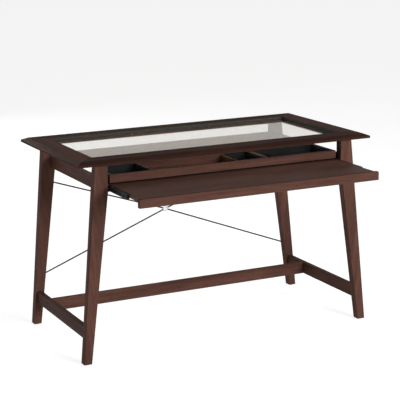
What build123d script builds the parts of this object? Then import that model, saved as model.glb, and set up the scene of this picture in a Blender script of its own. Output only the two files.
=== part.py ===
from build123d import *
import os

# A glass-topped writing desk with a pull-out keyboard tray, in millimetres.
# The desk is drawn about its own centre: +X to the right, +Y to the back, +Z up, floor at z = 0.
# The tray is drawn pulled out, which is its rest pose. Every node is then moved by frame_shift,
# so that the origin ends up below the middle of the whole object.

# Driving dimensions: top
top_width = 1219.0
top_depth = 635.0
top_height = 762.0
rail_width = 88.0
rail_edge = 9.0
bevel_rise = 9.5
bevel_width = 23.0
glass_thickness = 5.0
glass_gap = 1.5
pad_radius = 4.0
pad_height = 1.0
ledge_width = 38.0
ledge_height = 10.0
ledge_reach = 12.0
ledge_end_margin = 50.0

# Driving dimensions: legs, aprons and stretchers
leg_inner_x = 488.0
leg_top_width = 48.0
leg_foot_inner_x = 573.0
leg_foot_width = 31.0
leg_knee_height = 646.0
leg_depth = 33.0
leg_face_y = 297.0
glide_radius = 10.0
glide_height = 3.0
glide_pin_radius = 1.5
glide_pin_length = 12.0
apron_bottom = 637.0
apron_height = 50.0
apron_thickness = 18.0
rear_apron_face_y = 290.0
stretcher_bottom = 91.0
stretcher_height = 48.0
stretcher_thickness = 20.0
stretcher_outer_x = 586.0
long_stretcher_y = 140.0
dowel_radius = 4.0
dowel_length = 36.0
dowel_inset = 12.0

# Driving dimensions: connector bolts, brackets and brace
bolt_height = 126.0
bolt_radius = 3.0
bolt_length = 62.0
bolt_head_radius = 5.0
bolt_head_height = 5.0
bolt_recess = 3.0
barrel_nut_radius = 5.0
barrel_nut_length = 15.0
bracket_leg_length = 30.0
bracket_width = 22.0
bracket_thickness = 2.0
brace_ring_radius = 11.0
brace_ring_bore = 5.0
brace_ring_thickness = 7.5
brace_ring_height = 407.0
rod_radius = 2.9
rod_seat_radius = 8.0
brace_eye_radius = 7.0
brace_eye_thickness = 6.0
brace_upper = (523.0, 583.0)
brace_lower = (566.0, 190.0)

# Driving dimensions: tray
tray_travel = 266.0
shelf_half_width = 475.0
shelf_top = 667.0
shelf_thickness = 16.0
shelf_rear_y = -105.0
strip_half_width = 484.0
strip_front_y = -574.5
strip_thickness = 18.0
strip_height = 32.0
organiser_front_y = -281.5
organiser_height = 34.0
organiser_wall = 12.0
tongue_width = 8.0
tongue_depth = 3.0
shadow_gap_height = 4.0
divider_height = 30.0
pen_rest_width = 34.0
divider_left_x = -298.0
divider_centre_x = 61.0
pen_rest_x = 183.0
bin_wall = 2.0
bin_gap = 0.5
bin_height = 34.0
tray_screw_reach = 430.0
side_screw_inset = 50.0
strip_dowel_reach = 400.0

# Driving dimensions: slides, seen from the apron towards the tray
slide_length = 350.0
slide_top = 669.5
slide_height = 28.0
slide_sheet = 1.0
slide_depth = 8.5
slide_front_y = -290.0
ball_gap = 2.0
ball_radius = 0.98
ball_count = 6
cage_length = 120.0
cage_width = 3.0
cage_sheet = 0.5
slide_middle_out = 170.0
middle_web_x = 484.5
middle_depth = 7.3
inner_depth = 7.5
inner_reach = 2.0
cage_margin = 5.0
ball_hole_clearance = 0.1

# Driving dimensions: wood screws
screw_radius = 2.0
screw_length = 22.0
screw_head_radius = 4.0
screw_head_height = 2.5
slide_screw_length = 14.0
slide_screw_head_radius = 3.0
slide_screw_head_height = 2.0
apron_slide_screw_places = (-240.0, -96.0, 32.0)
shelf_slide_screw_places = (-440.0, -335.0, -230.0)

# Derived dimensions
half_width = top_width / 2
half_depth = top_depth / 2
rail_thickness = rail_edge + bevel_rise
rail_bottom = top_height - rail_thickness
opening_half_x = half_width - rail_width
opening_half_y = half_depth - rail_width
ledge_bottom = rail_bottom - ledge_height
leg_rear_y = leg_face_y - leg_depth
leg_middle_y = leg_face_y - leg_depth / 2
apron_top = apron_bottom + apron_height
shelf_bottom = shelf_top - shelf_thickness
shelf_front_y = strip_front_y + strip_thickness
organiser_top = shelf_top + organiser_height
slide_middle_height = slide_top - slide_height / 2
frame_shift = -(strip_front_y + half_depth) / 2

sides = {"left": -1, "right": 1}
ends = {"front": -1, "rear": 1}


def block(x0, x1, y0, y1, z0, z1):
    """A box between two corners."""
    size = Box(x1 - x0, y1 - y0, z1 - z0)
    return Pos((x0 + x1) / 2, (y0 + y1) / 2, (z0 + z1) / 2) * size


def rod(start, direction, radius, length):
    """A round bar from start along direction."""
    return Part() + Solid.make_cylinder(radius, length, Plane(origin=start, z_dir=direction))


def screw(start, direction, radius, length, head_radius, head_height):
    """A screw whose shank runs from start along direction, with its head behind start."""
    back = Vector(*start) - Vector(*direction).normalized() * head_height
    shank = rod(start, direction, radius, length)
    head = rod(back, direction, head_radius, head_height)
    return shank + head


def wood_screw(start, direction):
    """A countersunk wood screw whose head is flush with the face behind it."""
    inside = Vector(*start) + Vector(*direction).normalized() * screw_head_height
    shank = screw_length - screw_head_height
    return screw(inside, direction, screw_radius, shank, screw_head_radius, screw_head_height)


def cut(piece, tools):
    """A piece with room cut in it for each of the tools."""
    for tool in tools:
        piece = piece - tool
    return piece


def group(pieces):
    """Separate solids that share one node."""
    return Compound([solid for piece in pieces for solid in piece.solids()])


def spread(low, high, count):
    """Evenly spaced places from low to high."""
    return [low + (high - low) * i / (count - 1) for i in range(count)]


def on_side(piece, side):
    """A piece drawn for the right side, or its mirror image for the left side."""
    return piece if side > 0 else mirror(piece, about=Plane.YZ)


# Top: four mitred rails


def top_rail(half_span, setback):
    """A rail along X with its outer edge at y = -setback, mitred at both ends."""
    outer = -setback
    inner = outer + rail_width
    profile = [
        (0, outer, rail_bottom),
        (0, outer, rail_bottom + rail_edge),
        (0, outer + bevel_width, top_height),
        (0, inner, top_height),
        (0, inner, rail_bottom),
    ]
    bar = extrude(make_face(Polyline(*profile, close=True)), half_span, dir=(1, 0, 0), both=True)
    plan = [
        (-half_span, outer),
        (half_span, outer),
        (half_span - rail_width, inner),
        (rail_width - half_span, inner),
    ]
    wedge = extrude(make_face(Polyline(*plan, close=True)), top_height)
    return bar & wedge


rails = {
    "front": top_rail(half_width, half_depth),
    "right": Rot(0, 0, 90) * top_rail(half_depth, half_width),
    "rear": Rot(0, 0, 180) * top_rail(half_width, half_depth),
    "left": Rot(0, 0, -90) * top_rail(half_depth, half_width),
}

# Glass panel, the ledge strips that carry it and the pads between them

glass_bottom = rail_bottom + pad_height
glass_x = opening_half_x - glass_gap
glass_y = opening_half_y - glass_gap
glass_panel = block(-glass_x, glass_x, -glass_y, glass_y, glass_bottom, glass_bottom + glass_thickness)

ledge_inner_x = opening_half_x - ledge_reach
ledge_inner_y = opening_half_y - ledge_reach
ledge_outer_x = ledge_inner_x + ledge_width
ledge_outer_y = ledge_inner_y + ledge_width
ledges = {}
for name, end in ends.items():
    y0, y1 = sorted((end * ledge_inner_y, end * ledge_outer_y))
    ledges[name] = block(-ledge_outer_x, ledge_outer_x, y0, y1, ledge_bottom, rail_bottom)
for name, side in sides.items():
    x0, x1 = sorted((side * ledge_inner_x, side * ledge_outer_x))
    ledges[name] = block(x0, x1, -ledge_inner_y, ledge_inner_y, ledge_bottom, rail_bottom)

ledge_screw_y = ledge_outer_y - ledge_width / 3
ledge_screw_x = ledge_outer_x - ledge_width / 3
ledge_screws = [
    wood_screw((x, end * ledge_screw_y, ledge_bottom), (0, 0, 1))
    for end in ends.values()
    for x in spread(ledge_end_margin - ledge_outer_x, ledge_outer_x - ledge_end_margin, 4)
]
ledge_screws += [
    wood_screw((side * ledge_screw_x, y, ledge_bottom), (0, 0, 1))
    for side in sides.values()
    for y in spread(ledge_end_margin - ledge_inner_y, ledge_inner_y - ledge_end_margin, 2)
]

pad_x = ledge_inner_x + ledge_reach / 2
pad_y = ledge_inner_y + ledge_reach / 2
glass_pads = [
    rod((x, end * pad_y, rail_bottom), (0, 0, 1), pad_radius, pad_height)
    for end in ends.values()
    for x in spread(-pad_x, pad_x, 4)
]

# Legs and their foot glides, drawn for the right side


def leg(end):
    """A leg with a straight inner edge at the top, tapered and splayed below its knee."""
    outline = [
        (leg_inner_x, 0, rail_bottom),
        (leg_inner_x + leg_top_width, 0, rail_bottom),
        (leg_foot_inner_x + leg_foot_width, 0, glide_height),
        (leg_foot_inner_x, 0, glide_height),
        (leg_inner_x, 0, leg_knee_height),
    ]
    face = make_face(Polyline(*outline, close=True))
    return Pos(0, end * leg_middle_y, 0) * extrude(face, leg_depth / 2, dir=(0, 1, 0), both=True)


def foot_glide(end):
    """A round glide with a pin that is driven into the leg."""
    x = leg_foot_inner_x + leg_foot_width / 2
    y = end * leg_middle_y
    disc = rod((x, y, 0), (0, 0, 1), glide_radius, glide_height)
    return disc + rod((x, y, glide_height), (0, 0, 1), glide_pin_radius, glide_pin_length)


# Aprons and stretchers

side_apron = block(
    leg_inner_x, leg_inner_x + apron_thickness, -leg_rear_y, leg_rear_y, apron_bottom, apron_top
)
rear_apron = block(
    -leg_inner_x,
    leg_inner_x,
    rear_apron_face_y - apron_thickness,
    rear_apron_face_y,
    apron_bottom,
    apron_top,
)
stretcher_inner_x = stretcher_outer_x - stretcher_thickness
stretcher_top = stretcher_bottom + stretcher_height
side_stretcher = block(
    stretcher_inner_x, stretcher_outer_x, -leg_rear_y, leg_rear_y, stretcher_bottom, stretcher_top
)
long_stretcher = block(
    -stretcher_inner_x,
    stretcher_inner_x,
    long_stretcher_y - stretcher_thickness / 2,
    long_stretcher_y + stretcher_thickness / 2,
    stretcher_bottom,
    stretcher_top,
)

# Dowels, bolts and barrel nuts that hold the base together, drawn for the right side


def dowel_across_y(x, y, z):
    """A dowel along Y, half in each of the pieces that meet at y."""
    return rod((x, y - dowel_length / 2, z), (0, 1, 0), dowel_radius, dowel_length)


def dowel_across_x(x, y, z):
    """A dowel along X, half in each of the pieces that meet at x."""
    return rod((x - dowel_length / 2, y, z), (1, 0, 0), dowel_radius, dowel_length)


apron_dowel_heights = (apron_bottom + dowel_inset, apron_top - dowel_inset)
side_apron_dowels = [
    dowel_across_y(leg_inner_x + apron_thickness / 2, end * leg_rear_y, z)
    for end in ends.values()
    for z in apron_dowel_heights
]
rear_apron_dowels = [
    dowel_across_x(leg_inner_x, rear_apron_face_y - apron_thickness / 2, z) for z in apron_dowel_heights
]
side_stretcher_dowels = [
    dowel_across_y(stretcher_inner_x + stretcher_thickness / 2, end * leg_rear_y, z)
    for end in ends.values()
    for z in (stretcher_bottom + dowel_inset, stretcher_top - dowel_inset)
]
long_stretcher_dowel = rod(
    (stretcher_inner_x - dowel_length / 2, long_stretcher_y, stretcher_bottom + dowel_inset),
    (1, 0, 0),
    dowel_radius,
    dowel_length / 2 + stretcher_thickness / 2,
)
bolt_seat_x = stretcher_outer_x - bolt_recess - bolt_head_height
connector_bolt = screw(
    (bolt_seat_x, long_stretcher_y, bolt_height),
    (-1, 0, 0),
    bolt_radius,
    bolt_length,
    bolt_head_radius,
    bolt_head_height,
)
bolt_recess_start = (stretcher_outer_x - bolt_recess, long_stretcher_y, bolt_height)
bolt_hole = rod(bolt_recess_start, (1, 0, 0), bolt_head_radius, bolt_recess)
barrel_nut_x = bolt_seat_x - bolt_length + barrel_nut_radius
barrel_nut_start = (barrel_nut_x, long_stretcher_y + stretcher_thickness / 2, bolt_height)
barrel_nut = rod(barrel_nut_start, (0, -1, 0), barrel_nut_radius, barrel_nut_length)

# Corner brackets that hold the top on the legs, drawn for the right side


def leg_bracket(end):
    """An angle bracket on the leg's inner face and under the rail."""
    y0 = end * leg_middle_y - bracket_width / 2
    y1 = y0 + bracket_width
    foot = leg_inner_x - bracket_leg_length
    plate = block(foot, leg_inner_x, y0, y1, rail_bottom - bracket_thickness, rail_bottom)
    tab_bottom = rail_bottom - bracket_leg_length
    tab = block(leg_inner_x - bracket_thickness, leg_inner_x, y0, y1, tab_bottom, rail_bottom)
    return plate + tab


def bracket_screws(end):
    """One screw up into the rail and one across into the leg."""
    y = end * leg_middle_y
    reach = bracket_leg_length * 0.6
    shank = screw_length - 2 * screw_head_height
    into_rail = screw(
        (leg_inner_x - reach, y, rail_bottom - bracket_thickness),
        (0, 0, 1),
        screw_radius,
        rail_thickness * 0.8,
        screw_head_radius,
        slide_screw_head_height,
    )
    into_leg = screw(
        (leg_inner_x - bracket_thickness, y, rail_bottom - reach),
        (1, 0, 0),
        screw_radius,
        shank,
        screw_head_radius,
        slide_screw_head_height,
    )
    return [into_rail, into_leg]


# Brace at the back: four rods that meet in a ring, drawn for the right side

rod_y = leg_face_y + brace_eye_thickness / 2
ring_centre = Vector(0, rod_y, brace_ring_height)


def brace_rod(place):
    """A rod from the ring to an eye that lies flat on the leg's rear face."""
    eye_centre = Vector(place[0], rod_y, place[1])
    along = (eye_centre - ring_centre).normalized()
    start = ring_centre + along * rod_seat_radius
    bar = rod(start, along, rod_radius, (eye_centre - start).length)
    eye_start = (place[0], leg_face_y, place[1])
    eye = rod(eye_start, (0, 1, 0), brace_eye_radius, brace_eye_thickness)
    return bar + eye


def brace_screw(place):
    """The screw through a rod's eye into the leg."""
    start = (place[0], leg_face_y + brace_eye_thickness, place[1])
    return screw(start, (0, -1, 0), screw_radius, screw_length, screw_head_radius, screw_head_height)


brace_places = {"upper": brace_upper, "lower": brace_lower}
ring_start = (0, rod_y - brace_ring_thickness / 2, brace_ring_height)
brace_ring = rod(ring_start, (0, 1, 0), brace_ring_radius, brace_ring_thickness)
brace_ring = brace_ring - rod(ring_start, (0, 1, 0), brace_ring_bore, brace_ring_thickness)

# Slides: three nested channels with ball cages between them, drawn for the right side


def channel(web_x, depth, height, front_y, length, opens):
    """A channel along Y with its web's far face at web_x, open towards opens along X."""
    z0 = slide_middle_height - height / 2
    z1 = slide_middle_height + height / 2
    y1 = front_y + length
    x0, x1 = sorted((web_x, web_x + opens * depth))
    bore_x0, bore_x1 = sorted((web_x + opens * slide_sheet, web_x + opens * depth))
    outside = block(x0, x1, front_y, y1, z0, z1)
    return outside - block(bore_x0, bore_x1, front_y, y1, z0 + slide_sheet, z1 - slide_sheet)


def cage_rows(x, front_y, height):
    """Two ball cages, above and below, each with its row of balls, in the gap at half-height."""
    pieces = []
    for z in (slide_middle_height - height, slide_middle_height + height):
        strip = block(
            x - cage_width / 2,
            x + cage_width / 2,
            front_y,
            front_y + cage_length,
            z - cage_sheet / 2,
            z + cage_sheet / 2,
        )
        pitch = cage_length / ball_count
        places = [front_y + pitch * (i + 0.5) for i in range(ball_count)]
        balls = [Pos(x, y, z) * Sphere(ball_radius) for y in places]
        hole_radius = ball_radius + ball_hole_clearance
        holes = [rod((x, y, z - cage_sheet), (0, 0, 1), hole_radius, 2 * cage_sheet) for y in places]
        pieces += [cut(strip, holes)] + balls
    return pieces


middle_height = slide_height - 2 * slide_sheet - 2 * ball_gap
inner_height = middle_height - 2 * slide_sheet - 2 * ball_gap
middle_front_y = slide_front_y - slide_middle_out
inner_front_y = middle_front_y - inner_reach
inner_rear_y = slide_front_y + slide_length - tray_travel
inner_length = inner_rear_y - inner_front_y
slide_outer = channel(leg_inner_x, slide_depth, slide_height, slide_front_y, slide_length, -1)
slide_middle = channel(middle_web_x, middle_depth, middle_height, middle_front_y, slide_length, -1)
slide_inner = channel(shelf_half_width, inner_depth, inner_height, inner_front_y, inner_length, 1)
outer_cage_x = middle_web_x - middle_depth / 2
inner_cage_x = shelf_half_width + inner_depth / 2
slide_cages = cage_rows(outer_cage_x, slide_front_y + cage_margin, (middle_height + ball_gap) / 2)
inner_cage_front_y = inner_rear_y - cage_margin - cage_length
slide_cages += cage_rows(inner_cage_x, inner_cage_front_y, (inner_height + ball_gap) / 2)


def slide_screw(x, y, side):
    """A pan head screw through a slide's web, into the apron or into the shelf's edge."""
    start = (x - side * slide_sheet, y, slide_middle_height)
    return screw(
        start,
        (side, 0, 0),
        screw_radius,
        slide_screw_length,
        slide_screw_head_radius,
        slide_screw_head_height,
    )


apron_slide_screws = [slide_screw(leg_inner_x, y, 1) for y in apron_slide_screw_places]
shelf_slide_screws = [slide_screw(shelf_half_width, y, -1) for y in shelf_slide_screw_places]

# Tray: keyboard shelf, front strip and pencil organiser

keyboard_shelf = block(
    -shelf_half_width, shelf_half_width, shelf_front_y, shelf_rear_y, shelf_bottom, shelf_top
)
front_strip = block(
    -strip_half_width,
    strip_half_width,
    strip_front_y,
    shelf_front_y,
    shelf_top - strip_height,
    shelf_top,
)
strip_dowel_start = (shelf_front_y - dowel_inset, shelf_bottom + shelf_thickness / 2)
strip_dowels = [
    rod((x, *strip_dowel_start), (0, 1, 0), dowel_radius, dowel_length)
    for x in spread(-strip_dowel_reach, strip_dowel_reach, 5)
]

bay_front_y = organiser_front_y + organiser_wall
bay_rear_y = shelf_rear_y - organiser_wall
bay_half_width = shelf_half_width - organiser_wall
tongue_top = shelf_top + shadow_gap_height
groove_bottom = shelf_top - tongue_depth
shelf_groove = block(
    -shelf_half_width, shelf_half_width, organiser_front_y, bay_front_y, groove_bottom, shelf_top
)
wall_tongue = block(
    -shelf_half_width,
    shelf_half_width,
    bay_front_y - tongue_width,
    bay_front_y,
    groove_bottom,
    tongue_top,
)
organiser_walls = {
    "front_wall": wall_tongue
    + block(-shelf_half_width, shelf_half_width, organiser_front_y, bay_front_y, tongue_top, organiser_top),
    "rear_wall": block(
        -shelf_half_width, shelf_half_width, bay_rear_y, shelf_rear_y, shelf_top, organiser_top
    ),
    "left_wall": block(
        -shelf_half_width, -bay_half_width, bay_front_y, bay_rear_y, shelf_top, organiser_top
    ),
    "right_wall": block(
        bay_half_width, shelf_half_width, bay_front_y, bay_rear_y, shelf_top, organiser_top
    ),
}


def divider(x, width):
    """An upright across the organiser, lower than its walls."""
    top = shelf_top + divider_height
    return block(x - width / 2, x + width / 2, bay_front_y, bay_rear_y, shelf_top, top)


dividers = {
    "left_divider": divider(divider_left_x, organiser_wall),
    "centre_divider": divider(divider_centre_x, organiser_wall),
    "pen_rest": divider(pen_rest_x, pen_rest_width),
}


def pencil_bin(x0, x1):
    """A thin open bin that drops in between two uprights."""
    x0 += bin_gap
    x1 -= bin_gap
    y0 = bay_front_y + bin_gap
    y1 = bay_rear_y - bin_gap
    outside = block(x0, x1, y0, y1, shelf_top, shelf_top + bin_height)
    inside = block(
        x0 + bin_wall,
        x1 - bin_wall,
        y0 + bin_wall,
        y1 - bin_wall,
        shelf_top + bin_wall,
        shelf_top + bin_height,
    )
    return outside - inside


bins = {
    "pencil_bin_left": pencil_bin(-bay_half_width, divider_left_x - organiser_wall / 2),
    "pencil_bin_centre": pencil_bin(divider_centre_x + organiser_wall / 2, pen_rest_x - pen_rest_width / 2),
    "pencil_bin_right": pencil_bin(pen_rest_x + pen_rest_width / 2, bay_half_width),
}

tray_screw_rows = (bay_front_y - tongue_width / 2, shelf_rear_y - organiser_wall / 2)
tray_screws = [
    wood_screw((x, y, shelf_bottom), (0, 0, 1))
    for y in tray_screw_rows
    for x in spread(-tray_screw_reach, tray_screw_reach, 4)
]
side_wall_x = shelf_half_width - organiser_wall / 2
tray_screws += [
    wood_screw((side * side_wall_x, y, shelf_bottom), (0, 0, 1))
    for side in sides.values()
    for y in spread(bay_front_y + side_screw_inset, bay_rear_y - side_screw_inset, 2)
]

# Room for the fasteners in the pieces that they hold, then one node for each piece

nodes = {}
leg_names = [(end_name, side_name) for end_name in ends for side_name in sides]
bracket_fasteners = [
    on_side(piece, side)
    for end in ends.values()
    for side in sides.values()
    for piece in bracket_screws(end)
]
under_top = ledge_screws + bracket_fasteners
for name, rail in rails.items():
    nodes[f"top_{name}_rail"] = cut(rail, under_top)
for name, ledge in ledges.items():
    nodes[f"glass_ledge_{name}"] = cut(ledge, ledge_screws)
nodes["glass_panel"] = glass_panel
nodes["glass_pads"] = group(glass_pads)
nodes["glass_ledge_screws"] = group(ledge_screws)

brace_fasteners = {place_name: brace_screw(place) for place_name, place in brace_places.items()}
for end_name, side_name in leg_names:
    end = ends[end_name]
    side = sides[side_name]
    glide = foot_glide(end)
    tools = [glide] + side_apron_dowels + side_stretcher_dowels + bracket_screws(end) + apron_slide_screws
    if end > 0:
        tools += rear_apron_dowels + list(brace_fasteners.values())
    nodes[f"leg_{end_name}_{side_name}"] = on_side(cut(leg(end), tools), side)
    nodes[f"foot_glide_{end_name}_{side_name}"] = on_side(glide, side)

for side_name, side in sides.items():
    apron = cut(side_apron, side_apron_dowels + apron_slide_screws)
    nodes[f"side_apron_{side_name}"] = on_side(apron, side)
    bolt_tools = [long_stretcher_dowel, connector_bolt, bolt_hole]
    stretcher = cut(side_stretcher, side_stretcher_dowels + bolt_tools)
    nodes[f"side_stretcher_{side_name}"] = on_side(stretcher, side)
both_rear_dowels = [on_side(piece, side) for side in sides.values() for piece in rear_apron_dowels]
nodes["rear_apron"] = cut(rear_apron, both_rear_dowels)
long_fasteners = [
    on_side(piece, side)
    for side in sides.values()
    for piece in (long_stretcher_dowel, connector_bolt, barrel_nut)
]
nodes["long_stretcher"] = cut(long_stretcher, long_fasteners)

frame_dowels = side_apron_dowels + rear_apron_dowels + side_stretcher_dowels + [long_stretcher_dowel]
nodes["frame_dowels"] = group([on_side(p, s) for s in sides.values() for p in frame_dowels])
nodes["connector_bolts"] = group([on_side(connector_bolt, s) for s in sides.values()])
drilled_nut = barrel_nut - connector_bolt
nodes["barrel_nuts"] = group([on_side(drilled_nut, s) for s in sides.values()])
nodes["top_brackets"] = group(
    [
        on_side(cut(leg_bracket(end), bracket_screws(end)), side)
        for end in ends.values()
        for side in sides.values()
    ]
)
nodes["bracket_screws"] = group(bracket_fasteners)

brace_rods = {}
for place_name, place in brace_places.items():
    bar = cut(brace_rod(place), [brace_fasteners[place_name]])
    for side_name, side in sides.items():
        brace_rods[f"brace_rod_{place_name}_{side_name}"] = on_side(bar, side)
nodes.update(brace_rods)
nodes["brace_ring"] = cut(brace_ring, brace_rods.values())
both_brace_screws = [on_side(piece, side) for side in sides.values() for piece in brace_fasteners.values()]
nodes["brace_screws"] = group(both_brace_screws)

for side_name, side in sides.items():
    nodes[f"slide_outer_{side_name}"] = on_side(cut(slide_outer, apron_slide_screws), side)
    nodes[f"slide_middle_{side_name}"] = on_side(slide_middle, side)
    nodes[f"slide_inner_{side_name}"] = on_side(cut(slide_inner, shelf_slide_screws), side)
    nodes[f"slide_bearings_{side_name}"] = group([on_side(piece, side) for piece in slide_cages])
both_apron_screws = [on_side(piece, side) for side in sides.values() for piece in apron_slide_screws]
both_shelf_screws = [on_side(piece, side) for side in sides.values() for piece in shelf_slide_screws]
nodes["slide_screws_apron"] = group(both_apron_screws)
nodes["slide_screws_shelf"] = group(both_shelf_screws)

nodes["keyboard_shelf"] = cut(keyboard_shelf, strip_dowels + tray_screws + both_shelf_screws + [shelf_groove])
nodes["shelf_front_strip"] = cut(front_strip, strip_dowels)
nodes["shelf_dowels"] = group(strip_dowels)
for name, wall in organiser_walls.items():
    nodes[f"organiser_{name}"] = cut(wall, tray_screws)
for name, upright in dividers.items():
    nodes[f"organiser_{name}"] = upright
nodes.update(bins)
nodes["tray_screws"] = group(tray_screws)

os.makedirs("parts", exist_ok=True)
for name, shape in nodes.items():
    export_step(Pos(0, frame_shift, 0) * shape, f"parts/{name}.step")
print(len(nodes), "nodes, origin", frame_shift, "mm behind the middle of the pulled-out desk")
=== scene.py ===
import math

import bmesh
import bpy
from mathutils import Matrix, Vector


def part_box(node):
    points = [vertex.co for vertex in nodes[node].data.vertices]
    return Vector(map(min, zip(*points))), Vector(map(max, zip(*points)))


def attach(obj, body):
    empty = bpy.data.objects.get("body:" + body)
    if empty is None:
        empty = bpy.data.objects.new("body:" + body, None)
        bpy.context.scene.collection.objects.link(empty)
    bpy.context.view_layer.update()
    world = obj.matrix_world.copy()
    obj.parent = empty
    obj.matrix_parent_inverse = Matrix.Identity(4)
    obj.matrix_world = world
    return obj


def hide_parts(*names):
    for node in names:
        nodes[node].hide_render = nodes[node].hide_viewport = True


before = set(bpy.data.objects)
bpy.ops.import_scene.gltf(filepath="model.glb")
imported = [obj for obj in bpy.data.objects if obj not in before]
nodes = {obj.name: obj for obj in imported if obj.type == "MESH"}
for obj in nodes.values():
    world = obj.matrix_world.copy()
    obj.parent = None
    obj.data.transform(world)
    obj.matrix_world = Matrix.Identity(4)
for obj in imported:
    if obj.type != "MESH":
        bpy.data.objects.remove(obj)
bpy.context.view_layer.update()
scene = bpy.context.scene
mm = 0.001


# Shader helpers


def add(tree, kind, inputs=None, **settings):
    """Adds a node; an input given a socket is linked, and any other value is set on it."""
    made = tree.nodes.new(kind)
    for key, value in settings.items():
        setattr(made, key, value)
    for key, value in (inputs or {}).items():
        if isinstance(value, bpy.types.NodeSocket):
            tree.links.new(value, made.inputs[key])
        else:
            made.inputs[key].default_value = value
    return made


def ramp(tree, factor, stops):
    """A colour ramp through (place, colour) stops."""
    made = add(tree, "ShaderNodeValToRGB", {0: factor})
    while len(made.color_ramp.elements) < len(stops):
        made.color_ramp.elements.new(0.5)
    for element, (place, colour) in zip(made.color_ramp.elements, stops):
        element.position = place
        element.color = (*colour, 1)
    return made.outputs[0]


def spread_to(tree, value, low, high, start=0.0, end=1.0):
    """The value, moved from the range start to end into the range low to high."""
    made = add(tree, "ShaderNodeMapRange", {0: value, 1: start, 2: end, 3: low, 4: high})
    return made.outputs[0]


def blend(tree, factor, a, b, mode="MIX"):
    """Colour b over colour a."""
    made = add(tree, "ShaderNodeMix", {0: factor, 6: a, 7: b}, data_type="RGBA", blend_type=mode)
    return made.outputs[2]


def calculated(tree, operation, a, b):
    """The result of a Math node on a and b."""
    return add(tree, "ShaderNodeMath", {0: a, 1: b}, operation=operation).outputs[0]


def noise(tree, place, stretch, seed, detail=3.0, roughness=0.5, distortion=0.0):
    """A noise whose cells have the given number per metre along each axis."""
    scaled = add(tree, "ShaderNodeVectorMath", {0: place, 1: stretch}, operation="MULTIPLY")
    inputs = {
        "Vector": scaled.outputs[0],
        "W": seed,
        "Scale": 1.0,
        "Detail": detail,
        "Roughness": roughness,
        "Distortion": distortion,
    }
    return add(tree, "ShaderNodeTexNoise", inputs, noise_dimensions="4D").outputs[0]


def principled(name):
    """A new material, its node tree, its Principled node and its object coordinates."""
    material = bpy.data.materials.new(name)
    material.use_nodes = True
    tree = material.node_tree
    tree.nodes.clear()
    shader = add(tree, "ShaderNodeBsdfPrincipled")
    add(tree, "ShaderNodeOutputMaterial", {"Surface": shader.outputs[0]})
    place = add(tree, "ShaderNodeTexCoord").outputs["Object"]
    return material, tree, shader, place


def set_bump(tree, shader, height, strength, distance):
    """Gives the shader a fine relief from the height."""
    bump = add(tree, "ShaderNodeBump", {"Strength": strength, "Distance": distance, "Height": height})
    tree.links.new(bump.outputs[0], shader.inputs["Normal"])


def edge_mask(tree, radius):
    """About 1 on sharp edges and 0 on flat faces."""
    soft = add(tree, "ShaderNodeBevel", {"Radius": radius}, samples=4)
    flat = add(tree, "ShaderNodeNewGeometry")
    match = add(
        tree,
        "ShaderNodeVectorMath",
        {0: soft.outputs[0], 1: flat.outputs["True Normal"]},
        operation="DOT_PRODUCT",
    )
    return spread_to(tree, match.outputs["Value"], 1.0, 0.0, 0.72, 0.98)


# Materials

# How the grain lies: along X, along Y, or along a leg, which leans outwards by LEG_RUN over LEG_RISE
GRAIN_X = (0.0, 0.0, 0.0)
GRAIN_Y = (0.0, 0.0, -math.pi / 2)
LEG_RUN = 0.0765
LEG_RISE = 0.7405
LEG_TILT = math.atan2(LEG_RUN, LEG_RISE)
GRAIN_LEG_RIGHT = (0.0, math.pi / 2 - LEG_TILT, 0.0)
GRAIN_LEG_LEFT = (0.0, math.pi / 2 + LEG_TILT, 0.0)

# The main tone of the wood, as (place on the ramp, colour)
WOOD_TONES = [
    (0.30, (0.040, 0.0188, 0.0138)),
    (0.50, (0.061, 0.0288, 0.0214)),
    (0.72, (0.090, 0.0425, 0.0318)),
]
PORE_TONE = (0.016, 0.007, 0.005, 1)
# Rubbed edges, lightened past wear to paint the glint of the eased edges
WORN_AND_GLINT_TONE = (0.190, 0.098, 0.072, 1)

# How far past the glass the rails' inner faces get painted shade, and how high the front wall's foot is,
# which gets a painted shadow
OPENING_MARGIN = 2 * mm
FOOT_HEIGHT = 3.8 * mm


def inside_opening(tree, place):
    """1 on the rails' faces round the glass, which get painted shade, and 0 elsewhere."""
    low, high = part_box("glass_panel")
    middle = (low + high) / 2
    half = (high - low) / 2
    offset = add(tree, "ShaderNodeVectorMath", {0: place, 1: middle}, operation="SUBTRACT")
    apart = add(tree, "ShaderNodeVectorMath", {0: offset.outputs[0]}, operation="ABSOLUTE")
    sides = add(tree, "ShaderNodeSeparateXYZ", {0: apart.outputs[0]})
    in_x = calculated(tree, "LESS_THAN", sides.outputs[0], half.x + OPENING_MARGIN)
    in_y = calculated(tree, "LESS_THAN", sides.outputs[1], half.y + OPENING_MARGIN)
    return calculated(tree, "MULTIPLY", in_x, in_y)


def recessed_foot(tree, place):
    """1 on the foot of the organiser's front wall, which stands back below its face and gets a painted
    shadow, and 0 elsewhere.
    """
    foot_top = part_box("keyboard_shelf")[1].z + FOOT_HEIGHT
    height = add(tree, "ShaderNodeSeparateXYZ", {0: place}).outputs[2]
    return calculated(tree, "LESS_THAN", height, foot_top)


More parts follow.
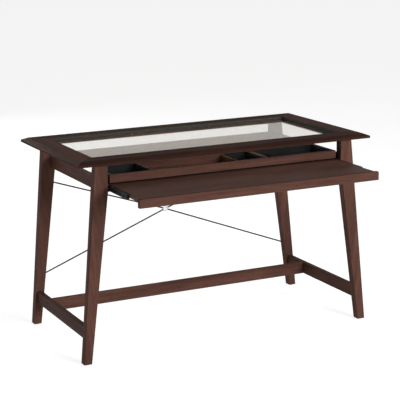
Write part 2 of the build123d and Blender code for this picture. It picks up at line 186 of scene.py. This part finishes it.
def espresso_wood(name, turn, seed, depth, gloss, painted_shade):
    """Dark stained and lacquered wood.

    turn lays its grain along the piece, and a lower depth is darker, which paints shade on the top rails.
    The last argument is a mask function and the tone of painted shade that it lays over the wood.
    """
    material, tree, shader, place = principled(name)
    grain = add(tree, "ShaderNodeMapping", {"Vector": place, "Rotation": turn}).outputs[0]
    figure = noise(tree, grain, (1.5, 24, 24), seed, 5, 0.6, 0.8)
    fibres = noise(tree, grain, (11, 380, 380), seed + 3, 3, 0.6)
    pores = noise(tree, grain, (36, 1300, 1300), seed + 5, 1, 0.5)
    cloud = noise(tree, grain, (3.5, 6, 6), seed + 9, 2, 0.5)
    stops = [(level, tuple(part * depth for part in colour)) for level, colour in WOOD_TONES]
    tone = ramp(tree, figure, stops)
    stain = ramp(tree, cloud, [(0.3, (0.86, 0.84, 0.84)), (0.7, (1.12, 1.10, 1.08))])
    tone = blend(tree, 1.0, tone, stain, "MULTIPLY")
    streak = ramp(tree, fibres, [(0.32, (0.72, 0.70, 0.70)), (0.62, (1.14, 1.12, 1.10))])
    tone = blend(tree, 0.8, tone, streak, "MULTIPLY")
    pit = spread_to(tree, pores, 1.0, 0.0, 0.28, 0.38)
    tone = blend(tree, pit, tone, PORE_TONE)
    # Lighter eased edges: real rubbed wear, and a painted highlight for their glint
    worn = edge_mask(tree, 1.6 * mm)
    rubbed_and_glint = spread_to(tree, cloud, 0.15, 0.55, 0.35, 0.65)
    tone = blend(tree, calculated(tree, "MULTIPLY", worn, rubbed_and_glint), tone, WORN_AND_GLINT_TONE)
    # Painted shade: a dark tone laid over the masked faces
    if painted_shade:
        mask_of, shade_tone = painted_shade
        tone = blend(tree, mask_of(tree, place), tone, (*shade_tone, 1))
    tree.links.new(tone, shader.inputs["Base Color"])
    tree.links.new(spread_to(tree, fibres, 0.40, 0.54, 0.3, 0.7), shader.inputs["Roughness"])
    shader.inputs["Specular IOR Level"].default_value = gloss
    set_bump(tree, shader, calculated(tree, "SUBTRACT", fibres, pit), 0.25, 0.25 * mm)
    return material


def beech(name):
    """Pale bare wood of the dowels."""
    material, tree, shader, place = principled(name)
    fibres = noise(tree, place, (60, 60, 900), 2, 3, 0.6)
    flecks = noise(tree, place, (300, 300, 300), 4, 2, 0.5)
    tone = ramp(tree, fibres, [(0.3, (0.46, 0.28, 0.15)), (0.7, (0.62, 0.42, 0.24))])
    tone = blend(tree, spread_to(tree, flecks, 0, 0.35, 0.55, 0.7), tone, (0.36, 0.19, 0.09, 1))
    tree.links.new(tone, shader.inputs["Base Color"])
    tree.links.new(spread_to(tree, fibres, 0.6, 0.75), shader.inputs["Roughness"])
    set_bump(tree, shader, fibres, 0.3, 0.2 * mm)
    return material


def black_steel(name):
    """Steel with a black powder coat, slightly worn at the edges."""
    material, tree, shader, place = principled(name)
    grit = noise(tree, place, (1400, 1400, 1400), 1, 2, 0.6)
    patches = noise(tree, place, (45, 45, 45), 6, 3, 0.6)
    tone = ramp(tree, patches, [(0.3, (0.0050, 0.0050, 0.0055)), (0.7, (0.0120, 0.0120, 0.0125))])
    worn = edge_mask(tree, 0.4 * mm)
    wear = calculated(tree, "MULTIPLY", worn, patches)
    tone = blend(tree, wear, tone, (0.07, 0.07, 0.073, 1))
    tree.links.new(tone, shader.inputs["Base Color"])
    tree.links.new(spread_to(tree, patches, 0.38, 0.52, 0.3, 0.7), shader.inputs["Roughness"])
    shader.inputs["Specular IOR Level"].default_value = 0.2
    set_bump(tree, shader, grit, 0.2, 0.06 * mm)
    return material


def zinc_steel(name):
    """Bright zinc plated steel with a faint spangle."""
    material, tree, shader, place = principled(name)
    spangle = noise(tree, place, (500, 500, 500), 3, 3, 0.6)
    stain = noise(tree, place, (60, 60, 60), 8, 3, 0.6)
    tone = ramp(tree, spangle, [(0.3, (0.42, 0.43, 0.45)), (0.7, (0.62, 0.63, 0.64))])
    tone = blend(tree, spread_to(tree, stain, 0, 0.4, 0.5, 0.75), tone, (0.34, 0.32, 0.28, 1))
    tree.links.new(tone, shader.inputs["Base Color"])
    tree.links.new(spread_to(tree, spangle, 0.24, 0.42), shader.inputs["Roughness"])
    shader.inputs["Metallic"].default_value = 1.0
    set_bump(tree, shader, spangle, 0.12, 0.05 * mm)
    return material


def black_plastic(name):
    """Moulded black plastic with a fine pebbled texture."""
    material, tree, shader, place = principled(name)
    pebbles = {"Vector": place, "Scale": 900.0}
    cells = add(tree, "ShaderNodeTexVoronoi", pebbles, feature="SMOOTH_F1").outputs["Distance"]
    patches = noise(tree, place, (30, 30, 30), 5, 3, 0.6)
    tone = ramp(tree, patches, [(0.3, (0.0050, 0.0050, 0.0055)), (0.7, (0.0095, 0.0095, 0.0100))])
    worn = edge_mask(tree, 0.5 * mm)
    wear = calculated(tree, "MULTIPLY", worn, 0.35)
    tone = blend(tree, wear, tone, (0.035, 0.035, 0.037, 1))
    tree.links.new(tone, shader.inputs["Base Color"])
    tree.links.new(spread_to(tree, patches, 0.42, 0.56, 0.3, 0.7), shader.inputs["Roughness"])
    shader.inputs["Specular IOR Level"].default_value = 0.03
    set_bump(tree, shader, cells, 0.25, 0.1 * mm)
    return material


def clear_rubber(name):
    """Smoky clear rubber of the pads under the glass."""
    material, tree, shader, place = principled(name)
    haze = noise(tree, place, (250, 250, 250), 5, 2, 0.5)
    tone = ramp(tree, haze, [(0.3, (0.12, 0.12, 0.11)), (0.7, (0.20, 0.20, 0.19))])
    tree.links.new(tone, shader.inputs["Base Color"])
    tree.links.new(spread_to(tree, haze, 0.3, 0.45), shader.inputs["Roughness"])
    shader.inputs["Transmission Weight"].default_value = 0.6
    shader.inputs["IOR"].default_value = 1.43
    set_bump(tree, shader, haze, 0.1, 0.1 * mm)
    return material


def clear_glass(name):
    """Clear float glass with a slight green cast."""
    material, tree, shader, place = principled(name)
    smear = noise(tree, place, (7, 7, 7), 5, 3, 0.6)
    tree.links.new(spread_to(tree, smear, 0.0, 0.035, 0.5, 0.75), shader.inputs["Roughness"])
    shader.inputs["Base Color"].default_value = (0.975, 0.98, 0.96, 1)
    shader.inputs["Transmission Weight"].default_value = 1.0
    shader.inputs["IOR"].default_value = 1.5
    return material


def ground_edge(name):
    """The ground edge of the glass: its green is its own, and its near black depth is painted shade where
    it sits against the rails.
    """
    material, tree, shader, place = principled(name)
    scratches = noise(tree, place, (900, 900, 40), 2, 2, 0.6)
    # Painted shade: the edge's green darkened to near black
    tone = ramp(tree, scratches, [(0.3, (0.010, 0.018, 0.014)), (0.7, (0.022, 0.036, 0.029))])
    tree.links.new(tone, shader.inputs["Base Color"])
    tree.links.new(spread_to(tree, scratches, 0.45, 0.65), shader.inputs["Roughness"])
    shader.inputs["Specular IOR Level"].default_value = 0.2
    set_bump(tree, shader, scratches, 0.2, 0.05 * mm)
    return material


def paint(node, material):
    """Gives every slot of a CAD node's object this material."""
    for slot in nodes[node].material_slots:
        slot.material = material


wood_grain = {
    "top_front_rail": GRAIN_X,
    "top_rear_rail": GRAIN_X,
    "top_left_rail": GRAIN_Y,
    "top_right_rail": GRAIN_Y,
    "glass_ledge_front": GRAIN_X,
    "glass_ledge_rear": GRAIN_X,
    "glass_ledge_left": GRAIN_Y,
    "glass_ledge_right": GRAIN_Y,
    "leg_front_left": GRAIN_LEG_LEFT,
    "leg_rear_left": GRAIN_LEG_LEFT,
    "leg_front_right": GRAIN_LEG_RIGHT,
    "leg_rear_right": GRAIN_LEG_RIGHT,
    "side_apron_left": GRAIN_Y,
    "side_apron_right": GRAIN_Y,
    "rear_apron": GRAIN_X,
    "side_stretcher_left": GRAIN_Y,
    "side_stretcher_right": GRAIN_Y,
    "long_stretcher": GRAIN_X,
    "keyboard_shelf": GRAIN_X,
    "shelf_front_strip": GRAIN_X,
    "organiser_front_wall": GRAIN_X,
    "organiser_rear_wall": GRAIN_X,
    "organiser_left_wall": GRAIN_Y,
    "organiser_right_wall": GRAIN_Y,
    "organiser_left_divider": GRAIN_Y,
    "organiser_centre_divider": GRAIN_Y,
    "organiser_pen_rest": GRAIN_Y,
}
# Where a piece differs from the common gloss, the top rails' painted shade, and the parts that get painted
# shade
COMMON_GLOSS = 0.02
# Painted shade: the top rails darkened, most of all the front and rear rails
painted_shade_depth = {
    "top_front_rail": 0.42,
    "top_rear_rail": 0.45,
    "top_left_rail": 0.85,
    "top_right_rail": 0.75,
}
wood_gloss = {"keyboard_shelf": 0.14}
for node in painted_shade_depth:
    wood_gloss[node] = 0.008
# Painted shade on the rails' faces round the glass, lighter on the right rail, and a painted shadow on the
# organiser front wall's recessed foot
painted_shade_parts = {
    "top_front_rail": (inside_opening, (0.034, 0.032, 0.027)),
    "top_rear_rail": (inside_opening, (0.030, 0.028, 0.024)),
    "top_left_rail": (inside_opening, (0.034, 0.032, 0.027)),
    "top_right_rail": (inside_opening, (0.060, 0.056, 0.048)),
    "organiser_front_wall": (recessed_foot, (0.003, 0.002, 0.002)),
}
for seed, (node, turn) in enumerate(wood_grain.items()):
    depth = painted_shade_depth.get(node, 1.0)
    gloss = wood_gloss.get(node, COMMON_GLOSS)
    painted_shade = painted_shade_parts.get(node)
    paint(node, espresso_wood(f"espresso_{node}", turn, 4.7 * seed, depth, gloss, painted_shade))

finishes = {
    "beech": beech("beech"),
    "black_steel": black_steel("black_steel"),
    "zinc_steel": zinc_steel("zinc_steel"),
    "black_plastic": black_plastic("black_plastic"),
    "clear_rubber": clear_rubber("clear_rubber"),
    "clear_glass": clear_glass("clear_glass"),
    "ground_edge": ground_edge("ground_edge"),
}
for node, obj in nodes.items():
    slot = obj.data.materials[0].name
    if slot in finishes:
        paint(node, finishes[slot])


# Eased edges on the CAD pieces

SAME_POINT = 0.002 * mm
SHORTEST_EASED = 12 * mm
WOOD_EASE = 1.3 * mm
LEDGE_EASE = 0.6 * mm
BRACKET_EASE = 0.4 * mm

def edge_key(start, end):
    """An edge's ends, rounded, in no order."""
    return frozenset((tuple(round(c, 5) for c in start), tuple(round(c, 5) for c in end)))


def ease(node, width):
    """Rounds the long sharp outside edges of a CAD node's piece, and leaves its holes as they are."""
    mesh = nodes[node].data
    merged = bmesh.new()
    merged.from_mesh(mesh)
    bmesh.ops.remove_doubles(merged, verts=merged.verts, dist=SAME_POINT)
    sharp = {
        edge_key(edge.verts[0].co, edge.verts[1].co)
        for edge in merged.edges
        if len(edge.link_faces) == 2
        and edge.calc_length() > SHORTEST_EASED
        and edge.is_convex
        and edge.calc_face_angle() > math.radians(15)
    }
    merged.free()
    weights = mesh.attributes.new("bevel_weight_edge", "FLOAT", "EDGE")
    for edge in mesh.edges:
        start, end = (mesh.vertices[v].co for v in edge.vertices)
        weights.data[edge.index].value = 1.0 if edge_key(start, end) in sharp else 0.0
    weld = nodes[node].modifiers.new("weld", "WELD")
    weld.merge_threshold = SAME_POINT
    bevel = nodes[node].modifiers.new("ease", "BEVEL")
    bevel.width = width
    bevel.segments = 2
    bevel.limit_method = "WEIGHT"
    bevel.use_clamp_overlap = False
    bevel.harden_normals = True


for node in wood_grain:
    ease(node, LEDGE_EASE if node.startswith("glass_ledge") else WOOD_EASE)
ease("top_brackets", BRACKET_EASE)


# Mesh helpers for the pieces that stand for CAD nodes


def new_piece(name, mesh, body, material, slot, *replaced):
    """A piece of the visual model that stands for CAD nodes."""
    mesh.materials.append(material)
    piece = bpy.data.objects.new(name, mesh)
    scene.collection.objects.link(piece)
    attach(piece, body)
    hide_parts(*replaced)
    return piece


def finished(name, shape, smooth_angle=35):
    """A mesh from a bmesh, shaded smooth except across sharp edges."""
    bmesh.ops.recalc_face_normals(shape, faces=shape.faces)
    mesh = bpy.data.meshes.new(name)
    shape.to_mesh(mesh)
    shape.free()
    mesh.shade_smooth()
    mesh.set_sharp_from_angle(angle=math.radians(smooth_angle))
    return mesh


def stand_in(node, ending, shape, body, slot):
    """A piece that stands for one CAD node, in the finish named by its slot."""
    new_piece(f"{node}_{ending}", finished(node, shape), body, finishes[slot], slot, node)


def ring_of(shape, points):
    """New vertices at these points."""
    return [shape.verts.new(point) for point in points]


def bridge(shape, first, second):
    """A closed band of faces between two rings of the same length."""
    count = len(first)
    for i in range(count):
        j = (i + 1) % count
        shape.faces.new((first[i], first[j], second[j], second[i]))


def bridge_all(shape, rings):
    """A band of faces between each ring and the next."""
    for first, second in zip(rings, rings[1:]):
        bridge(shape, first, second)


def arc(x, y, radius, first, steps=4):
    """The points of a quarter circle about (x, y), from the angle first in degrees."""
    angles = [math.radians(first + 90 * i / steps) for i in range(steps + 1)]
    return [(x + radius * math.cos(angle), y + radius * math.sin(angle)) for angle in angles]


def circle(radius, z, steps):
    """The points of a circle about the Z axis at a height of z."""
    return [
        Vector((radius * math.cos(2 * math.pi * i / steps), radius * math.sin(2 * math.pi * i / steps), z))
        for i in range(steps)
    ]


def turned_solid(shape, profile, frame_of, steps=32):
    """A solid of revolution about frame_of's Z axis through (radius, z) points, closed at both ends."""
    rings = [ring_of(shape, [frame_of @ p for p in circle(radius, z, steps)]) for radius, z in profile]
    bridge_all(shape, rings)
    shape.faces.new(rings[0])
    shape.faces.new(rings[-1])


def islands(node):
    """The separate solids of a CAD node, each as a list of its points, in the same order each run."""
    merged = bmesh.new()
    merged.from_mesh(nodes[node].data)
    bmesh.ops.remove_doubles(merged, verts=merged.verts, dist=SAME_POINT)
    left = set(merged.verts)
    found = []
    for first in merged.verts:
        if first not in left:
            continue
        left.remove(first)
        stack = [first]
        points = []
        while stack:
            vert = stack.pop()
            points.append(vert.co.copy())
            for edge in vert.link_edges:
                other = edge.other_vert(vert)
                if other in left:
                    left.remove(other)
                    stack.append(other)
        found.append(points)
    merged.free()
    return sorted(found, key=lambda points: tuple(round(c, 4) for c in sum(points, Vector()) / len(points)))


# Screws and bolts with domed, flat or socket heads and driver recesses


def measured_screw(points):
    """Where a CAD screw's head starts, its direction, and its sizes."""
    low = Vector(min(p[k] for p in points) for k in range(3))
    high = Vector(max(p[k] for p in points) for k in range(3))
    axis = max(range(3), key=lambda k: high[k] - low[k])
    middle = (low + high) / 2
    head_radius = max(high[k] - low[k] for k in range(3) if k != axis) / 2

    def radius_at(level):
        """How far from the axis the points at this level reach."""
        return max(
            math.hypot(*(p[k] - middle[k] for k in range(3) if k != axis))
            for p in points
            if abs(p[axis] - level) < 0.01 * mm
        )

    at_low = radius_at(low[axis]) > radius_at(high[axis])
    sign = 1 if at_low else -1
    start = middle.copy()
    start[axis] = low[axis] if at_low else high[axis]
    direction = Vector((0, 0, 0))
    direction[axis] = sign
    length = high[axis] - low[axis]
    shank_radius = radius_at(high[axis] if at_low else low[axis])
    levels = sorted({round(abs(p[axis] - start[axis]), 5) for p in points})
    return start, direction, length, head_radius, levels[1], shank_radius


# Each head's profile from its recess outwards, as shares of the head's radius and height
HEADS = {
    "domed": [(0.66, 0.0), (0.84, 0.10), (0.95, 0.32), (1.0, 0.62), (1.0, 1.0)],
    "flat": [(0.66, 0.0), (0.93, 0.0), (1.0, 0.08), (1.0, 0.22)],
    "socket": [(0.66, 0.0), (0.90, 0.0), (0.97, 0.04), (1.0, 0.12), (1.0, 1.0)],
}


def cross_outline(radius):
    """The outline of a cross recess."""
    arm = 0.13 * radius
    reach = 0.52 * radius
    corner = [(reach, -arm), (reach, arm), (arm, arm)]
    outline = []
    for turn in range(4):
        angle = turn * math.pi / 2
        for x, y in corner:
            outline.append(
                (x * math.cos(angle) - y * math.sin(angle), x * math.sin(angle) + y * math.cos(angle))
            )
    return outline


def hexagon_outline(radius):
    """The outline of a hexagon recess."""
    reach = 0.56 * radius
    return [(reach * math.cos(math.pi * i / 3), reach * math.sin(math.pi * i / 3)) for i in range(6)]


def add_screw(shape, points, style):
    """One screw, with its head, recess, shank and point, in the place of the CAD one."""
    start, direction, length, head_radius, head_height, shank_radius = measured_screw(points)
    placed = Matrix.Translation(start) @ direction.to_track_quat("Z", "Y").to_matrix().to_4x4()
    steps = 24
    profile = [(r * head_radius, z * head_height) for r, z in HEADS[style]]
    tip = length - 2 * shank_radius
    profile += [(shank_radius, head_height), (shank_radius, tip)]
    profile += [(0.25 * shank_radius, length)]
    rings = [ring_of(shape, [placed @ p for p in circle(r, z, steps)]) for r, z in profile]
    bridge_all(shape, rings)
    shape.faces.new(rings[-1])
    outline = hexagon_outline(head_radius) if style == "socket" else cross_outline(head_radius)
    depth = 0.6 * head_height
    rim = ring_of(shape, [placed @ Vector((x, y, 0)) for x, y in outline])
    floor_ring = ring_of(shape, [placed @ Vector((0.8 * x, 0.8 * y, depth)) for x, y in outline])
    bridge(shape, rim, floor_ring)
    shape.faces.new(floor_ring)
    edges = []
    for loop in (rings[0], rim):
        for i, vert in enumerate(loop):
            other = loop[(i + 1) % len(loop)]
            edges.append(shape.edges.get((vert, other)) or shape.edges.new((vert, other)))
    bmesh.ops.triangle_fill(shape, use_beauty=True, edges=edges)


def screw_pieces(node, style, body, slot):
    """All screws of a CAD node, as one piece."""
    shape = bmesh.new()
    for points in islands(node):
        add_screw(shape, points, style)
    stand_in(node, "detailed", shape, body, slot)


screw_pieces("brace_screws", "domed", "desk", "black_steel")
screw_pieces("bracket_screws", "domed", "desk", "black_steel")
screw_pieces("slide_screws_apron", "domed", "desk", "zinc_steel")
screw_pieces("slide_screws_shelf", "domed", "tray", "zinc_steel")
screw_pieces("glass_ledge_screws", "flat", "desk", "zinc_steel")
screw_pieces("tray_screws", "flat", "tray", "zinc_steel")
screw_pieces("connector_bolts", "socket", "desk", "zinc_steel")


# Brace ring with rounded edges


def rounded_ring(node, bore, soft):
    """A ring about Y with a rounded section, in the place of a CAD ring."""
    low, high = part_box(node)
    outer = (high.x - low.x) / 2 - soft
    inner = bore + soft
    half = (high.y - low.y) / 2 - soft
    corners = [(outer, half), (inner, half), (inner, -half), (outer, -half)]
    section = []
    for quarter, (radius, level) in enumerate(corners):
        section += arc(radius, level, soft, 90 * quarter)
    placed = Matrix.Translation((low + high) / 2) @ Matrix.Rotation(-math.pi / 2, 4, "X")
    shape = bmesh.new()
    rings = [ring_of(shape, [placed @ p for p in circle(radius, level, 40)]) for radius, level in section]
    bridge_all(shape, rings + rings[:1])
    stand_in(node, "rounded", shape, "desk", "zinc_steel")


rounded_ring("brace_ring", 5 * mm, 1.4 * mm)


# Foot glides with a rounded rim: the radius and height of each point, in millimetres

GLIDE_PROFILE = [
    (6.0, 0.0),
    (8.6, 0.15),
    (9.6, 0.7),
    (10.0, 1.5),
    (10.0, 3.0),
    (1.5, 3.0),
    (1.5, 14.2),
    (0.7, 15.0),
]
for end in ("front", "rear"):
    for side in ("left", "right"):
        node = f"foot_glide_{end}_{side}"
        low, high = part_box(node)
        middle = (low + high) / 2
        shape = bmesh.new()
        foot = Matrix.Translation((middle.x, middle.y, low.z))
        turned_solid(shape, [(r * mm, z * mm) for r, z in GLIDE_PROFILE], foot)
        stand_in(node, "rounded", shape, "desk", "black_plastic")


# Pencil bins: moulded tubs with rounded corners, drafted walls and a soft rim


def rounded_loop(low, high, inset, corner, z, steps=6):
    """The points of a rounded rectangle, inset from the box's sides."""
    radius = max(corner - inset, 1.2 * mm)
    x0, x1 = low.x + inset + radius, high.x - inset - radius
    y0, y1 = low.y + inset + radius, high.y - inset - radius
    points = []
    for quarter, (x, y) in enumerate(((x1, y1), (x0, y1), (x0, y0), (x1, y0))):
        points += [Vector((px, py, z)) for px, py in arc(x, y, radius, 90 * quarter, steps)]
    return points


def moulded_bin(node):
    """A tub in a CAD bin's box, from its foot up the outside, over the rim and down the inside."""
    low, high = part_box(node)
    bottom, top = low.z, high.z
    # How far each level is inset, in millimetres, and its height
    levels = [
        (2.2, bottom),
        (1.4, bottom + 0.3 * mm),
        (1.0, bottom + 1.2 * mm),
        (0.3, top - 2.5 * mm),
        (0.0, top - 1.9 * mm),
        (0.0, top - 0.6 * mm),
        (0.25, top - 0.15 * mm),
        (0.7, top),
        (1.5, top),
        (2.0, top - 0.3 * mm),
        (2.2, top - 1.0 * mm),
        (3.0, bottom + 6.0 * mm),
        (3.6, bottom + 4.0 * mm),
        (4.8, bottom + 2.7 * mm),
        (6.6, bottom + 2.1 * mm),
        (8.5, bottom + 2.0 * mm),
    ]
    shape = bmesh.new()
    loops = [ring_of(shape, rounded_loop(low, high, inset * mm, 9 * mm, z)) for inset, z in levels]
    bridge_all(shape, loops)
    shape.faces.new(loops[0])
    shape.faces.new(loops[-1])
    stand_in(node, "moulded", shape, "tray", "black_plastic")


for place in ("left", "centre", "right"):
    moulded_bin(f"pencil_bin_{place}")


# Glass pane with rounded corners, and its ground edge, green with painted shade

low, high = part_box("glass_panel")
glass_corner = 6 * mm
chamfer = 0.7 * mm
band = 0.4 * mm
levels = [(band, low.z), (band, high.z)]
shape = bmesh.new()
loops = [ring_of(shape, rounded_loop(low, high, inset, glass_corner, z)) for inset, z in levels]
bridge(shape, *loops)
for loop in loops:
    shape.faces.new(loop)
mesh = finished("glass_pane", shape, 20)
pane = new_piece("glass_pane", mesh, "desk", finishes["clear_glass"], "clear_glass", "glass_panel")
pane.visible_shadow = False

levels = [(band, low.z), (0.0, low.z + chamfer), (0.0, high.z - chamfer), (band, high.z)]
shape = bmesh.new()
loops = [ring_of(shape, rounded_loop(low, high, inset, glass_corner, z)) for inset, z in levels]
bridge_all(shape, loops + loops[:1])
mesh = finished("glass_ground_edge", shape, 20)
new_piece("glass_ground_edge", mesh, "desk", finishes["ground_edge"], "clear_glass", "glass_panel")


# Slide members: rolled channels with punched webs and rubber bumpers

SHEET = 1.0 * mm
SHEET_BEND = 2.2 * mm


def rolled_profile(low, high, web_side, lip):
    """The x and z points of a rolled channel, outside then back inside, from one lip to the other.

    web_side is -1 where the web is at the box's lowest x, and 1 at its highest.
    """
    web = low.x if web_side < 0 else high.x
    inward = -web_side
    depth = high.x - low.x
    middle = (low.z + high.z) / 2
    half = (high.z - low.z) / 2
    radius = SHEET_BEND
    small = radius - SHEET
    upper = half - radius
    outer = [(depth - 0.2 * mm, half - lip), (depth, half - lip + 0.5 * mm)]
    outer += arc(depth - radius, upper, radius, 0) + arc(radius, upper, radius, 90)
    inner = [(depth - SHEET, half - lip)]
    inner += arc(depth - radius, upper, small, 0) + arc(radius, upper, small, 90)
    outside = outer + [(x, -z) for x, z in reversed(outer)]
    inside = inner + [(x, -z) for x, z in reversed(inner)]

    def placed(points):
        """The points, moved from the web's own frame to their place."""
        return [(web + inward * x, middle + z) for x, z in points]

    return placed(outside), placed(reversed(inside))


def slot_outline(y, z, half_length, radius, steps=8):
    """A round-ended slot in the web; a half_length of zero gives a round hole."""
    points = []
    for i in range(2 * steps):
        angle = math.pi * (i + 0.5) / steps - math.pi / 2
        side = half_length if i < steps else -half_length
        points.append((y + side + radius * math.cos(angle), z + radius * math.sin(angle)))
    return points


def slide_member(node, web_side, lip, holes, body):
    """A channel with a rolled section and holes through its web.

    Each hole is its place along y from the member's front, its half length and its radius.
    """
    low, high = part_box(node)
    outside, inside = rolled_profile(low, high, web_side, lip)
    profile = outside + inside
    count = len(profile)
    web_edges = {len(outside) // 2 - 1, len(outside) + len(inside) // 2 - 1}
    shape = bmesh.new()
    front = ring_of(shape, [Vector((x, low.y, z)) for x, z in profile])
    rear = ring_of(shape, [Vector((x, high.y, z)) for x, z in profile])
    shape.faces.new(front)
    shape.faces.new(rear)
    middle = (low.z + high.z) / 2
    outlines = [slot_outline(low.y + y, middle, half_length, radius) for y, half_length, radius in holes]
    rims = []
    for i in range(count):
        j = (i + 1) % count
        if i not in web_edges:
            shape.faces.new((front[i], front[j], rear[j], rear[i]))
            continue
        x = profile[i][0]
        rings = [ring_of(shape, [Vector((x, y, z)) for y, z in outline]) for outline in outlines]
        corners = [front[i], front[j], rear[j], rear[i]]
        sides = zip(corners, corners[1:] + corners[:1])
        edges = [shape.edges.get(pair) or shape.edges.new(pair) for pair in sides]
        for ring in rings:
            edges += [shape.edges.new((a, b)) for a, b in zip(ring, ring[1:] + ring[:1])]
        bmesh.ops.triangle_fill(shape, use_beauty=True, edges=edges)
        rims.append(rings)
    for first, second in zip(*rims):
        bridge(shape, first, second)
    stand_in(node, "rolled", shape, body, "black_steel")


def rounded_block(shape, low, high, radius):
    """A box with its edges along x rounded and its two ends softened."""
    corners = [(low.y, low.z), (high.y, low.z), (high.y, high.z), (low.y, high.z)]
    centre = ((low.y + high.y) / 2, (low.z + high.z) / 2)
    outline = []
    for k, (y, z) in enumerate(corners):
        cy = y + math.copysign(radius, centre[0] - y)
        cz = z + math.copysign(radius, centre[1] - z)
        outline += arc(cy, cz, radius, 180 + 90 * k)
    soft = 0.3 * mm
    rings = []
    for x, inset in ((low.x, soft), (low.x + soft, 0), (high.x - soft, 0), (high.x, soft)):
        points = []
        for y, z in outline:
            dy, dz = y - centre[0], z - centre[1]
            keep = 1 - inset / math.hypot(dy, dz)
            points.append(Vector((x, centre[0] + dy * keep, centre[1] + dz * keep)))
        rings.append(ring_of(shape, points))
    bridge_all(shape, rings)
    shape.faces.new(rings[0])
    shape.faces.new(rings[-1])


def block_piece(name, low, high, radius, body, slot):
    """A rounded block that stands for no CAD node."""
    shape = bmesh.new()
    rounded_block(shape, low, high, radius)
    new_piece(name, finished(name, shape), body, finishes[slot], slot)


def spaced(first, last, count):
    """Evenly spaced numbers from first to last."""
    return [first + (last - first) * i / (count - 1) for i in range(count)]


def row_of_holes(places, half_length, radius):
    """The same hole at several places, from sizes in millimetres."""
    return [(y * mm, half_length * mm, radius * mm) for y in places]


OUTER_LIP = 4.2 * mm
MIDDLE_LIP = 3.6 * mm
INNER_LIP = 3.2 * mm
BUMPER_THICKNESS = 0.7 * mm
BUMPER_GAP = 0.6 * mm
BUMPER_REACH = 9 * mm
BUMPER_HALF_HEIGHT = 6.5 * mm
BUMPER_CORNER = 1.2 * mm
outer_holes = row_of_holes((22, 82, 170, 262, 330), 4, 2.4)
middle_holes = row_of_holes(spaced(20, 330, 9), 7, 2.2)
inner_holes = row_of_holes((70, 160, 205), 3, 1.8)
for side, sign in (("left", -1), ("right", 1)):
    slide_member(f"slide_outer_{side}", sign, OUTER_LIP, outer_holes, "desk")
    slide_member(f"slide_middle_{side}", sign, MIDDLE_LIP, middle_holes, f"slide_middle_{side}")
    slide_member(f"slide_inner_{side}", -sign, INNER_LIP, inner_holes, "tray")

    low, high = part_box(f"slide_middle_{side}")
    web = high.x if sign > 0 else low.x
    inside = web - sign * SHEET
    level = (low.z + high.z) / 2
    for end, y, reach in (("front", low.y, 1), ("rear", high.y, -1)):
        x0, x1 = sorted((inside, inside - sign * BUMPER_THICKNESS))
        y0, y1 = sorted((y + reach * BUMPER_GAP, y + reach * BUMPER_REACH))
        near = Vector((x0, y0, level - BUMPER_HALF_HEIGHT))
        far = Vector((x1, y1, level + BUMPER_HALF_HEIGHT))
        name = f"slide_bumper_{end}_{side}"
        block_piece(name, near, far, BUMPER_CORNER, f"slide_middle_{side}", "black_plastic")


# Floor, light and camera

floor_mesh = bpy.data.meshes.new("floor")
reach = 60.0  # metres
floor_mesh.from_pydata(
    [(-reach, -reach, 0), (reach, -reach, 0), (reach, reach, 0), (-reach, reach, 0)], [], [(0, 1, 2, 3)]
)
floor = bpy.data.objects.new("floor", floor_mesh)
scene.collection.objects.link(floor)
floor_paint, tree, shader, place = principled("floor")
mottle = noise(tree, place, (3, 3, 3), 1, 3, 0.5)
greys = ramp(tree, mottle, [(0.2, (0.37, 0.37, 0.37)), (0.8, (0.39, 0.39, 0.39))])
tree.links.new(greys, shader.inputs["Base Color"])
shader.inputs["Roughness"].default_value = 0.9
shader.inputs["Specular IOR Level"].default_value = 0.0
shader.inputs["Emission Color"].default_value = (1, 1, 1, 1)
shader.inputs["Emission Strength"].default_value = 0.80
floor_mesh.materials.append(floor_paint)

world = bpy.data.worlds.new("studio")
scene.world = world
world.use_nodes = True
sky = world.node_tree
toward = add(sky, "ShaderNodeTexCoord").outputs["Generated"]
height = add(sky, "ShaderNodeSeparateXYZ", {0: toward}).outputs[2]
wall_tone = (0.62, 0.60, 0.56)
ceiling_tone = (0.20, 0.20, 0.20)
walls = ramp(sky, height, [(0.0, wall_tone), (0.26, wall_tone), (0.42, ceiling_tone), (1.0, ceiling_tone)])
sky.links.new(walls, sky.nodes["Background"].inputs["Color"])
sky.nodes["Background"].inputs["Strength"].default_value = 1.0


def softbox(name, place, aim, width, height, power):
    """A large area light at place, turned towards aim."""
    light = bpy.data.lights.new(name, "AREA")
    light.shape = "RECTANGLE"
    light.size = width
    light.size_y = height
    light.energy = power
    obj = bpy.data.objects.new(name, light)
    scene.collection.objects.link(obj)
    obj.location = place
    obj.rotation_euler = (Vector(aim) - Vector(place)).to_track_quat("-Z", "Y").to_euler()


softbox("key", (1.6, -5.4, 1.9), (0, 0, 0.5), 2.4, 1.6, 420)
softbox("top", (0.3, -0.8, 3.4), (0.1, -0.3, 0.7), 2.6, 1.6, 34)
softbox("rear", (-0.8, 5.2, 1.7), (0, 0, 0.5), 2.0, 1.4, 70)

# The viewing angle in radians, the camera's place in metres and its lens in millimetres
camera_place = (-2.2519, -4.6327, 1.6781)
focal_length = 122.4
yaw = 0.445
pitch = 0.2199
roll = -0.0169
forward = Vector((math.sin(yaw) * math.cos(pitch), math.cos(yaw) * math.cos(pitch), -math.sin(pitch)))
level = Vector((math.cos(yaw), -math.sin(yaw), 0))
upright = level.cross(forward)
across = math.cos(roll) * level + math.sin(roll) * upright
above = math.cos(roll) * upright - math.sin(roll) * level
lens = bpy.data.cameras.new("camera")
lens.sensor_width = 36.0
lens.lens = focal_length
lens.clip_end = 60
camera = bpy.data.objects.new("camera", lens)
scene.collection.objects.link(camera)
turned = Matrix((across, above, -forward)).transposed().to_4x4()
camera.matrix_world = Matrix.Translation(camera_place) @ turned
scene.camera = camera
scene.view_settings.view_transform = "Standard"
